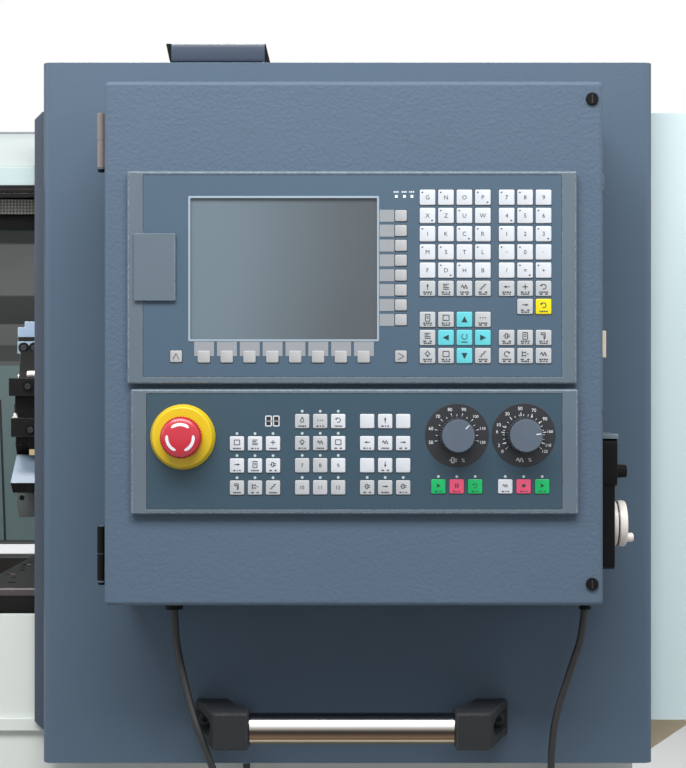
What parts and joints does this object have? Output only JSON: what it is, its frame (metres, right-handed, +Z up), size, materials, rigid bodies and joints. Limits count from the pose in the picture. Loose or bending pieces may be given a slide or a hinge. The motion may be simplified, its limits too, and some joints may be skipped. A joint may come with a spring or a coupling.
{
  "type": "CNC turning lathe",
  "caption": "CNC turning lathe with a sliding door that carries the operator box, a tool turret, chuck, tailstock and chip drawer.",
  "frame": {"origin": "middle of the machine's footprint on the floor", "axes": "+X to the operator's right along the spindle axis, +Y to the machine's back, +Z up"},
  "size_m": [1.645, 1.2726, 1.5005],
  "materials": {
    "machine_grey": "satin",
    "pale_paint": "satin",
    "cast_iron": "machined and oiled",
    "black_steel": "blackened",
    "black_plastic": "matte",
    "motor_black": "matte",
    "steel": "machined",
    "holder_blue": "ground",
    "door_paint": "satin, fine orange peel",
    "seal_rubber": "matte",
    "polished_tube": "polished",
    "bracket_black": "fine grain",
    "cover_paint": "crinkled powder coat",
    "cable_rubber": "smooth",
    "unit_paint": "satin",
    "screen_glass": "anti-glare",
    "keypad": "satin film",
    "stop_yellow": "gloss",
    "stop_red": "gloss",
    "white_plastic": "satin"
  },
  "bodies": {
    "machine": {"base_cabinet": "machine_grey", "chip_pan": "pale_paint", "bed": "cast_iron", "headstock": "machine_grey", "left_guard": "pale_paint", "right_guard": "pale_paint", "roof_panel": "pale_paint", "rear_guard": "machine_grey", "front_apron": "machine_grey", "upper_rail": "black_steel", "work_lamp": "black_plastic", "spindle_motor": "motor_black", "z_servo_motor": "motor_black", "electrical_cabinet": "pale_paint"},
    "main_spindle": {"spindle": "steel", "chuck_body": "steel"},
    "jaw_1": {"chuck_jaw_1": "steel"},
    "jaw_2": {"chuck_jaw_2": "steel"},
    "jaw_3": {"chuck_jaw_3": "steel"},
    "carriage": {"saddle": "cast_iron"},
    "cross_carriage": {"cross_slide": "black_steel", "turret_housing": "motor_black"},
    "turret": {"turret_disc": "black_steel", "tool_holder_1": "holder_blue", "tool_holder_2": "black_steel", "tool_holder_3": "holder_blue", "tool_holder_4": "black_steel"},
    "tailstock": {"tailstock_body": "machine_grey"},
    "tail_quill": {"quill": "steel"},
    "door": {"door_panel": "door_paint", "door_edge_strip": "seal_rubber", "door_top_bracket": "door_paint", "handle_tube": "polished_tube", "handle_bracket_left": "bracket_black", "handle_bracket_right": "bracket_black", "control_box": "cover_paint", "gland_left": "black_plastic", "gland_right": "black_plastic", "cable_left": "cable_rubber", "cable_right": "cable_rubber", "pendant_body": "black_plastic"},
    "cover": {"box_cover": "cover_paint", "display_unit": "unit_paint", "display_glass": "screen_glass", "display_keys": "keypad", "control_unit": "unit_paint", "control_keys": "keypad", "estop_collar": "stop_yellow"},
    "port_flap": {"port_cover": "black_plastic"},
    "stop_head": {"estop_button": "stop_red"},
    "spindle_knob": {"spindle_override_knob": "black_plastic"},
    "feed_knob": {"feed_override_knob": "black_plastic"},
    "lower_lock": {"cover_lock_lower": "black_plastic"},
    "upper_lock": {"cover_lock_upper": "black_plastic"},
    "box_side_lock": {"side_lock": "steel"},
    "handwheel": {"pendant_wheel": "white_plastic"},
    "axis_selector": {"pendant_selector": "black_plastic"},
    "rear_door": {"cabinet_door": "pale_paint"},
    "switch_grip": {"main_switch": "black_plastic"},
    "drawer": {"chip_drawer": "pale_paint"}
  },
  "joints": [
    {"name": "spindle_turn", "type": "hinge", "parent": "machine", "child": "main_spindle", "pos_m": [-0.3425, 0.0217, 1.12], "axis": [1, 0, 0], "continuous": true},
    {"name": "jaw_1_slide", "type": "slide", "parent": "main_spindle", "child": "jaw_1", "axis": [0, 0, 1], "range_m": [-0.004, 0.004]},
    {"name": "jaw_2_slide", "type": "slide", "parent": "main_spindle", "child": "jaw_2", "axis": [0, -0.866, -0.5], "range_m": [-0.004, 0.004]},
    {"name": "jaw_3_slide", "type": "slide", "parent": "main_spindle", "child": "jaw_3", "axis": [0, 0.866, -0.5], "range_m": [-0.004, 0.004]},
    {"name": "carriage_slide", "type": "slide", "parent": "machine", "child": "carriage", "axis": [1, 0, 0], "range_m": [-0.2, 0.17]},
    {"name": "cross_slide_travel", "type": "slide", "parent": "carriage", "child": "cross_carriage", "axis": [0, 1, 0], "range_m": [0, 0.09]},
    {"name": "turret_index", "type": "hinge", "parent": "cross_carriage", "child": "turret", "pos_m": [0.0515, -0.1783, 1.12], "axis": [1, 0, 0], "continuous": true},
    {"name": "tailstock_travel", "type": "slide", "parent": "machine", "child": "tailstock", "axis": [1, 0, 0], "range_m": [-0.1, 0.01]},
    {"name": "quill_travel", "type": "slide", "parent": "tailstock", "child": "tail_quill", "axis": [-1, 0, 0], "range_m": [0, 0.08]},
    {"name": "door_slide", "type": "slide", "parent": "machine", "child": "door", "axis": [1, 0, 0], "range_m": [-0.5, 0]},
    {"name": "cover_hinge", "type": "hinge", "parent": "door", "child": "cover", "pos_m": [0.2063, -0.5763, 1.195], "axis": [0, 0, -1], "range_deg": [0, 110]},
    {"name": "port_hinge", "type": "hinge", "parent": "cover", "child": "port_flap", "pos_m": [0.2419, -0.6081, 1.265], "axis": [0, 0, -1], "range_deg": [0, 150]},
    {"name": "stop_press", "type": "slide", "parent": "cover", "child": "stop_head", "axis": [0, 1, 0], "range_m": [0, 0.005]},
    {"name": "spindle_override", "type": "hinge", "parent": "cover", "child": "spindle_knob", "pos_m": [0.5417, -0.6063, 1.1091], "axis": [0, 1, 0], "range_deg": [-150, 60]},
    {"name": "feed_override", "type": "hinge", "parent": "cover", "child": "feed_knob", "pos_m": [0.604, -0.6063, 1.1094], "axis": [0, 1, 0], "range_deg": [-210, 45]},
    {"name": "lower_lock_turn", "type": "hinge", "parent": "cover", "child": "lower_lock", "pos_m": [0.669, -0.5983, 0.9695], "axis": [0, 1, 0], "range_deg": [0, 90]},
    {"name": "upper_lock_turn", "type": "hinge", "parent": "cover", "child": "upper_lock", "pos_m": [0.669, -0.5983, 1.4243], "axis": [0, 1, 0], "range_deg": [0, 90]},
    {"name": "side_lock_turn", "type": "hinge", "parent": "door", "child": "box_side_lock", "pos_m": [0.6795, -0.5633, 1.195], "axis": [1, 0, 0], "range_deg": [0, 90]},
    {"name": "handwheel_turn", "type": "hinge", "parent": "door", "child": "handwheel", "pos_m": [0.693, -0.5453, 1.022], "axis": [1, 0, 0], "continuous": true},
    {"name": "selector_turn", "type": "hinge", "parent": "door", "child": "axis_selector", "pos_m": [0.695, -0.5453, 1.0727], "axis": [1, 0, 0], "range_deg": [-60, 60]},
    {"name": "rear_door_hinge", "type": "hinge", "parent": "machine", "child": "rear_door", "pos_m": [0.4775, 0.592, 1.03], "axis": [0, 0, -1], "range_deg": [0, 110]},
    {"name": "main_switch_turn", "type": "hinge", "parent": "rear_door", "child": "switch_grip", "pos_m": [-0.4025, 0.592, 1.2], "axis": [0, 1, 0], "range_deg": [0, 90]},
    {"name": "drawer_slide", "type": "slide", "parent": "machine", "child": "drawer", "axis": [0, -1, 0], "range_m": [0, 0.35]}
  ],
  "couplings": [
    {"joint": "jaw_2_slide", "follows": "jaw_1_slide", "ratio": 1},
    {"joint": "jaw_3_slide", "follows": "jaw_1_slide", "ratio": 1}
  ]
}
